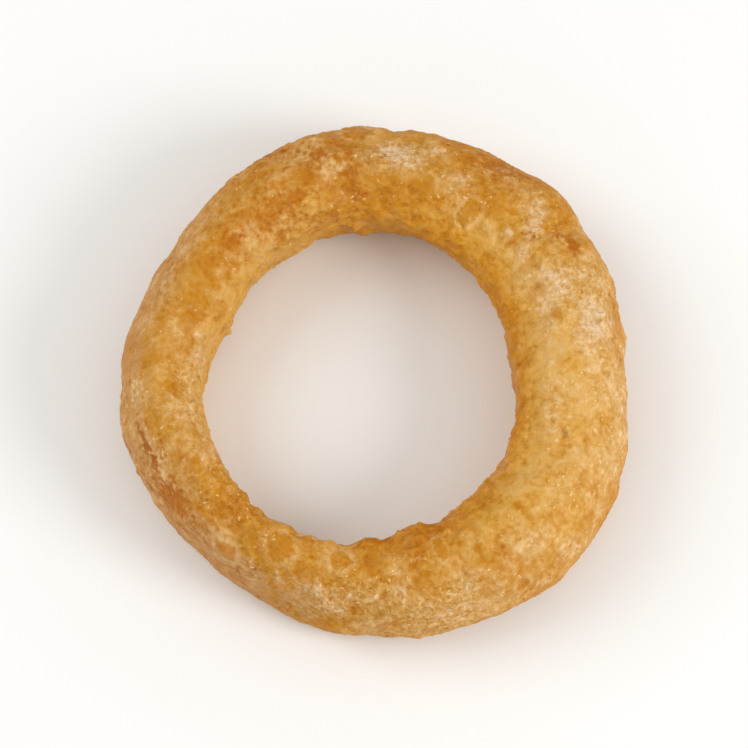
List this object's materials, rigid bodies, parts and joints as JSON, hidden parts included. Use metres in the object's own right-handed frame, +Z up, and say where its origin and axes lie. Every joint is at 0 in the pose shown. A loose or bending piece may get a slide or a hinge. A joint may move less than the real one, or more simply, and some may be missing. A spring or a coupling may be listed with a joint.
{
  "type": "battered onion ring",
  "caption": "Deep-fried battered onion ring lying flat: an uneven golden band with a leaning section, blisters and creases round an open hole.",
  "frame": {"origin": "on the surface that the ring lies on, under the middle of its outline", "axes": "+Z up through the hole, +X to the right and +Y away from the viewer, with the thick side of the band at +X"},
  "size_m": [0.0608, 0.0632, 0.016],
  "materials": {
    "fried_batter": "satin"
  },
  "bodies": {
    "root": {"onion_ring": "fried_batter"}
  },
  "joints": []
}
